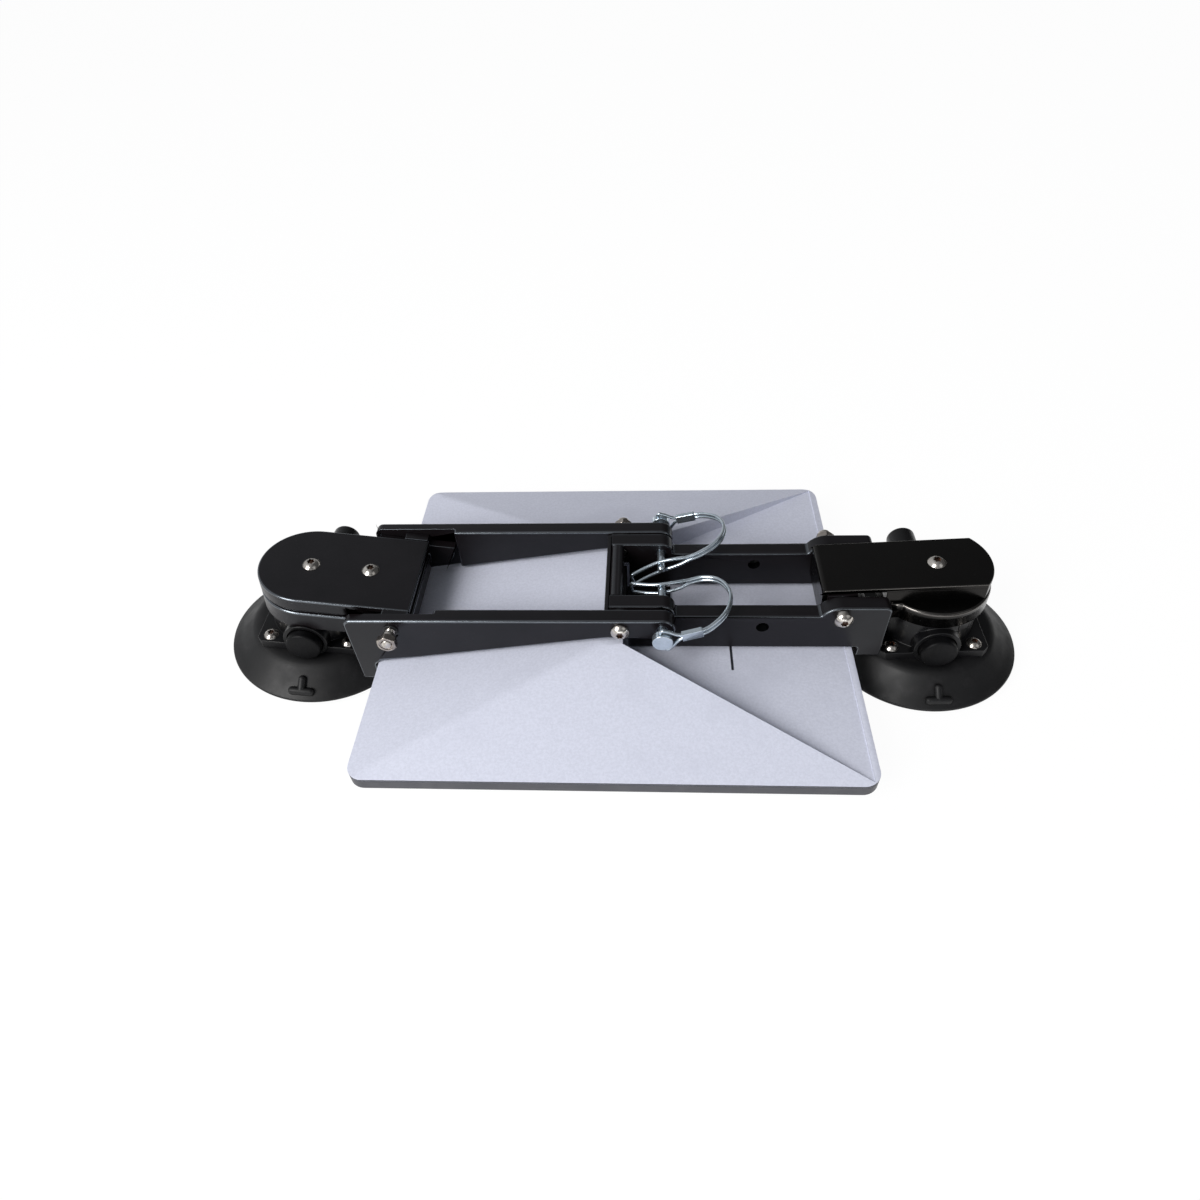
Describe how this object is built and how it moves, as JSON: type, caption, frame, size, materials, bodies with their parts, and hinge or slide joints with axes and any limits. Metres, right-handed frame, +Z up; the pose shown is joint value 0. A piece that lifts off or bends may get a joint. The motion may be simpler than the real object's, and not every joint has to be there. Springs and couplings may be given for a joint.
{
  "type": "suction cup bracket",
  "caption": "Twin suction-cup bracket: two hand-pumped rubber cups on tilting heads, outer arms, a folding frame with lock pins, and a flat lamp panel slung under it",
  "frame": {"origin": "On the surface that the cups stand on, under the middle of the lamp panel, which is also the middle of the part's box", "axes": "+X along the bracket from the left head, with the wide top plate, to the right head, with the narrow strip. +Y to the rear, where the barrel caps point. +Z up, from the surface to the heads' top plates"},
  "size_m": [0.5243, 0.259, 0.0784],
  "materials": {
    "pale_shell": "satin",
    "dark_band": "matte",
    "face_cover": "matte",
    "board_metal": "satin",
    "dark_steel": "satin",
    "stainless": "satin",
    "black_coat": "satin",
    "gloss_coat": "gloss",
    "black_nylon": "matte",
    "black_plastic": "satin",
    "button_plastic": "matte",
    "cup_rubber": "matte",
    "seal_rubber": "matte",
    "spring_steel": "satin",
    "zinc": "satin"
  },
  "bodies": {
    "bracket": {"panel_rear_shell": "pale_shell", "panel_side_band": "dark_band", "panel_face_cover": "face_cover", "panel_lamp_board": "board_metal", "panel_bracket": "dark_steel", "panel_bracket_screws": "stainless", "left_arm_front": "black_coat", "left_arm_rear": "black_coat", "frame_arm_front": "black_coat", "frame_arm_rear": "black_coat", "frame_web": "black_coat", "pivot_screw_front": "stainless", "pivot_stud_rear": "stainless", "pivot_nut_rear": "stainless", "pivot_washers": "stainless"},
    "left_head": {"left_top_plate": "black_coat", "left_spacer_block": "black_coat", "left_tilt_block": "black_coat", "left_plate_screws": "stainless", "left_hinge_stud": "stainless", "left_hinge_nut": "stainless", "left_hinge_washer": "black_nylon", "left_hinge_screw": "stainless", "left_pump_body": "black_plastic", "left_cup": "cup_rubber", "left_flange_screws": "stainless", "left_barrel_cap": "black_plastic", "left_plunger_spring": "spring_steel"},
    "right_head": {"right_top_strip": "gloss_coat", "right_spacer_block": "gloss_coat", "right_tilt_block": "black_coat", "right_cap_disc": "gloss_coat", "right_axis_screw": "stainless", "right_hinge_bolt": "stainless", "right_hinge_spacer": "stainless", "right_hinge_nut": "stainless", "right_pump_body": "black_plastic", "right_cup": "cup_rubber", "right_flange_screws": "stainless", "right_barrel_cap": "black_plastic", "right_plunger_spring": "spring_steel"},
    "left_pump_plunger": {"left_plunger": "button_plastic", "left_plunger_seal": "seal_rubber"},
    "right_pump_plunger": {"right_plunger": "button_plastic", "right_plunger_seal": "seal_rubber"},
    "front_pin": {"lock_pin_front": "zinc"},
    "rear_pin": {"lock_pin_rear": "zinc"},
    "front_bail": {"lock_bail_front": "zinc", "bail_ferrule_front": "zinc"},
    "rear_bail": {"lock_bail_rear": "zinc", "bail_ferrule_rear": "zinc"}
  },
  "joints": [
    {"name": "left_head_tilt", "type": "hinge", "parent": "bracket", "child": "left_head", "pos_m": [-0.1338, 0, 0.0613], "axis": [0, 1, 0], "range_deg": [-8.5, 20]},
    {"name": "right_head_tilt", "type": "hinge", "parent": "bracket", "child": "right_head", "pos_m": [0.1379, 0, 0.0613], "axis": [0, 1, 0], "range_deg": [-20, 5]},
    {"name": "left_plunger_press", "type": "slide", "parent": "left_head", "child": "left_pump_plunger", "axis": [0, 1, 0], "range_m": [0, 0.006], "stiffness_N_per_m": 600, "springref_m": -0.006, "deforming": ["left_plunger_spring"]},
    {"name": "right_plunger_press", "type": "slide", "parent": "right_head", "child": "right_pump_plunger", "axis": [0, 1, 0], "range_m": [0, 0.006], "stiffness_N_per_m": 600, "springref_m": -0.006, "deforming": ["right_plunger_spring"]},
    {"name": "front_pin_pull", "type": "slide", "parent": "bracket", "child": "front_pin", "axis": [0, -1, 0], "range_m": [0, 0.01]},
    {"name": "rear_pin_pull", "type": "slide", "parent": "bracket", "child": "rear_pin", "axis": [0, 1, 0], "range_m": [0, 0.01]},
    {"name": "front_bail_swing", "type": "hinge", "parent": "front_pin", "child": "front_bail", "pos_m": [0.0305, -0.053, 0.0613], "axis": [0.2079, 0, -0.9781], "range_deg": [0, 120]},
    {"name": "rear_bail_swing", "type": "hinge", "parent": "rear_pin", "child": "rear_bail", "pos_m": [0.0305, 0.053, 0.0613], "axis": [-0.342, 0, 0.9397], "range_deg": [0, 120]}
  ]
}
